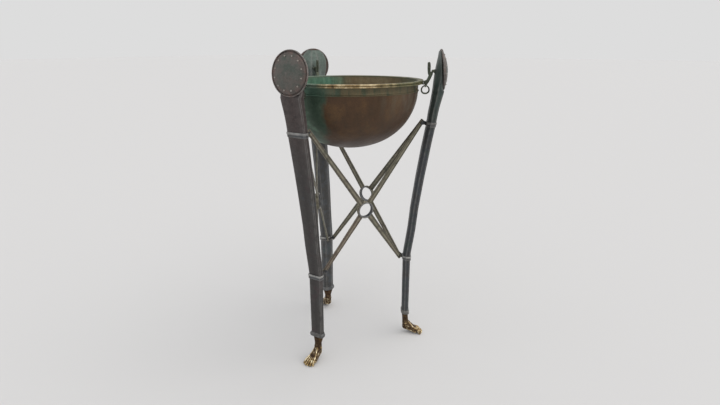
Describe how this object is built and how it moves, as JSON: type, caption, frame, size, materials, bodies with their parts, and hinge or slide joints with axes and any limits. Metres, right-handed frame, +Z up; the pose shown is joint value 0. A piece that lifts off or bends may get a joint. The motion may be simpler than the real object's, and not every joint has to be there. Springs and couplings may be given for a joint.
{
  "type": "folding tripod brazier",
  "caption": "Folding bronze tripod stand with crossed struts and sliding collars, carrying a round lipped basin on hinged hooks.",
  "frame": {"origin": "centre of the bounding box at floor level, a little in front of the tripod axis", "axes": "+Z up; the legs stand at 0, +120 and -120 degrees about the tripod axis, and leg_a stands towards -Y"},
  "size_m": [0.5324, 0.5057, 0.9252],
  "materials": {
    "ankle_band": "brown bronze",
    "basin": "brown bronze with green verdigris",
    "drop_ring": "olive-grey bronze",
    "eyelet": "grey-brown bronze",
    "foot": "worn golden bronze",
    "hook": "olive-grey bronze",
    "leg": "dark patinated bronze",
    "lower_pin": "grey bronze",
    "roundel": "dark patinated bronze, worn relief",
    "sliding_collar": "grey bronze, rubbed edges",
    "staple": "olive-grey bronze",
    "strut": "dark brown bronze",
    "upper_collar": "grey bronze, rubbed edges",
    "upper_pin": "grey bronze"
  },
  "bodies": {
    "leg_a": {"leg_a": "leg", "roundel_a": "roundel", "foot_a": "foot", "ankle_band_a": "ankle_band", "upper_collar_a": "upper_collar", "staple_a": "staple", "upper_pin_ab_1": "upper_pin", "upper_pin_ca_2": "upper_pin"},
    "leg_b": {"leg_b": "leg", "roundel_b": "roundel", "foot_b": "foot", "ankle_band_b": "ankle_band", "upper_collar_b": "upper_collar", "staple_b": "staple", "upper_pin_ab_2": "upper_pin", "upper_pin_bc_1": "upper_pin"},
    "leg_c": {"leg_c": "leg", "roundel_c": "roundel", "foot_c": "foot", "ankle_band_c": "ankle_band", "upper_collar_c": "upper_collar", "staple_c": "staple", "upper_pin_ca_1": "upper_pin"},
    "strut_ab_1": {"strut_ab_1": "strut", "lower_pin_ab_1": "lower_pin", "eyelet_ab": "eyelet"},
    "strut_ab_2": {"strut_ab_2": "strut", "lower_pin_ab_2": "lower_pin"},
    "strut_bc_1": {"strut_bc_1": "strut", "lower_pin_bc_1": "lower_pin", "eyelet_bc": "eyelet"},
    "strut_bc_2": {"strut_bc_2": "strut", "lower_pin_bc_2": "lower_pin", "upper_pin_bc_2": "upper_pin"},
    "strut_ca_1": {"strut_ca_1": "strut", "lower_pin_ca_1": "lower_pin"},
    "strut_ca_2": {"strut_ca_2": "strut", "lower_pin_ca_2": "lower_pin", "eyelet_ca": "eyelet"},
    "sliding_collar_a": {"sliding_collar_a": "sliding_collar"},
    "hook_a": {"hook_a": "hook"},
    "drop_ring_a": {"drop_ring_a": "drop_ring"},
    "sliding_collar_b": {"sliding_collar_b": "sliding_collar"},
    "hook_b": {"hook_b": "hook"},
    "drop_ring_b": {"drop_ring_b": "drop_ring"},
    "sliding_collar_c": {"sliding_collar_c": "sliding_collar"},
    "hook_c": {"hook_c": "hook"},
    "drop_ring_c": {"drop_ring_c": "drop_ring"},
    "basin": {"basin": "basin"}
  },
  "joints": [
    {"name": "basin_lift", "type": "slide", "parent": "leg_a", "child": "basin", "axis": [0, -0.1633, 0.9866], "range_m": [0, 0.75]},
    {"name": "fold_strut_ab_1", "type": "hinge", "parent": "leg_a", "child": "strut_ab_1", "pos_m": [0.012, -0.1816, 0.713], "axis": [0.8819, -0.4661, -0.0713], "range_deg": [-17.84, 0]},
    {"name": "cross_ab", "type": "hinge", "parent": "strut_ab_1", "child": "strut_ab_2", "pos_m": [0.08773, -0.01575, 0.46389], "axis": [0.8639, -0.4988, -0.0694], "range_deg": [0, 42.07]},
    {"name": "fold_leg_b", "type": "hinge", "parent": "strut_ab_2", "child": "leg_b", "pos_m": [0.19349, 0.13276, 0.713], "axis": [0.8446, -0.5307, -0.0713], "range_deg": [-17.84, 0]},
    {"name": "fold_strut_ca_2", "type": "hinge", "parent": "leg_a", "child": "strut_ca_2", "pos_m": [-0.012, -0.1816, 0.713], "axis": [-0.8819, -0.4661, -0.0713], "range_deg": [0, 17.84]},
    {"name": "cross_ca", "type": "hinge", "parent": "strut_ca_2", "child": "strut_ca_1", "pos_m": [-0.08773, -0.01575, 0.46389], "axis": [-0.8639, -0.4988, -0.0694], "range_deg": [-42.07, 0]},
    {"name": "fold_leg_c", "type": "hinge", "parent": "strut_ca_1", "child": "leg_c", "pos_m": [-0.19349, 0.13276, 0.713], "axis": [-0.8446, -0.5307, -0.0713], "range_deg": [0, 17.84]},
    {"name": "fold_strut_bc_1", "type": "hinge", "parent": "leg_b", "child": "strut_bc_1", "pos_m": [0.18149, 0.15354, 0.713], "axis": [-0.0373, 0.9968, -0.0713], "range_deg": [-17.84, 0]},
    {"name": "cross_bc", "type": "hinge", "parent": "strut_bc_1", "child": "strut_bc_2", "pos_m": [0, 0.13621, 0.46389], "axis": [0, 0.9976, -0.0694], "range_deg": [0, 42.07]},
    {"name": "collar_slide_a", "type": "slide", "parent": "leg_a", "child": "sliding_collar_a", "axis": [0, 0, -1], "range_m": [0, 0.08175]},
    {"name": "collar_slide_b", "type": "slide", "parent": "leg_b", "child": "sliding_collar_b", "axis": [0, 0, -1], "range_m": [0, 0.08175]},
    {"name": "collar_slide_c", "type": "slide", "parent": "leg_c", "child": "sliding_collar_c", "axis": [0, 0, -1], "range_m": [0, 0.08175]},
    {"name": "hook_swing_a", "type": "hinge", "parent": "leg_a", "child": "hook_a", "pos_m": [0, -0.2097, 0.8624], "axis": [-1, 0, 0], "range_deg": [0, 8]},
    {"name": "ring_swing_a", "type": "hinge", "parent": "hook_a", "child": "drop_ring_a", "pos_m": [0, -0.1891, 0.8205], "axis": [0, -1, 0], "range_deg": [-60, 60]},
    {"name": "hook_swing_b", "type": "hinge", "parent": "leg_b", "child": "hook_b", "pos_m": [0.21183, 0.1572, 0.8624], "axis": [0.5, -0.866, 0], "range_deg": [0, 8]},
    {"name": "ring_swing_b", "type": "hinge", "parent": "hook_b", "child": "drop_ring_b", "pos_m": [0.19399, 0.1469, 0.8205], "axis": [0.866, 0.5, 0], "range_deg": [-60, 60]},
    {"name": "hook_swing_c", "type": "hinge", "parent": "leg_c", "child": "hook_c", "pos_m": [-0.21183, 0.1572, 0.8624], "axis": [0.5, 0.866, 0], "range_deg": [0, 8]},
    {"name": "ring_swing_c", "type": "hinge", "parent": "hook_c", "child": "drop_ring_c", "pos_m": [-0.19399, 0.1469, 0.8205], "axis": [-0.866, 0.5, 0], "range_deg": [-60, 60]}
  ],
  "couplings": [
    {"joint": "fold_strut_ab_1", "follows": "basin_lift", "rad_per_m": -0.41393},
    {"joint": "cross_ab", "follows": "basin_lift", "rad_per_m": 0.97784},
    {"joint": "fold_leg_b", "follows": "basin_lift", "rad_per_m": -0.41393},
    {"joint": "fold_strut_ca_2", "follows": "basin_lift", "rad_per_m": 0.41393},
    {"joint": "cross_ca", "follows": "basin_lift", "rad_per_m": -0.97784},
    {"joint": "fold_leg_c", "follows": "basin_lift", "rad_per_m": 0.41393},
    {"joint": "fold_strut_bc_1", "follows": "basin_lift", "rad_per_m": -0.41393},
    {"joint": "cross_bc", "follows": "basin_lift", "rad_per_m": 0.97784},
    {"joint": "collar_slide_a", "follows": "basin_lift", "ratio": 0.10833},
    {"joint": "collar_slide_b", "follows": "basin_lift", "ratio": 0.10833},
    {"joint": "collar_slide_c", "follows": "basin_lift", "ratio": 0.10833}
  ]
}
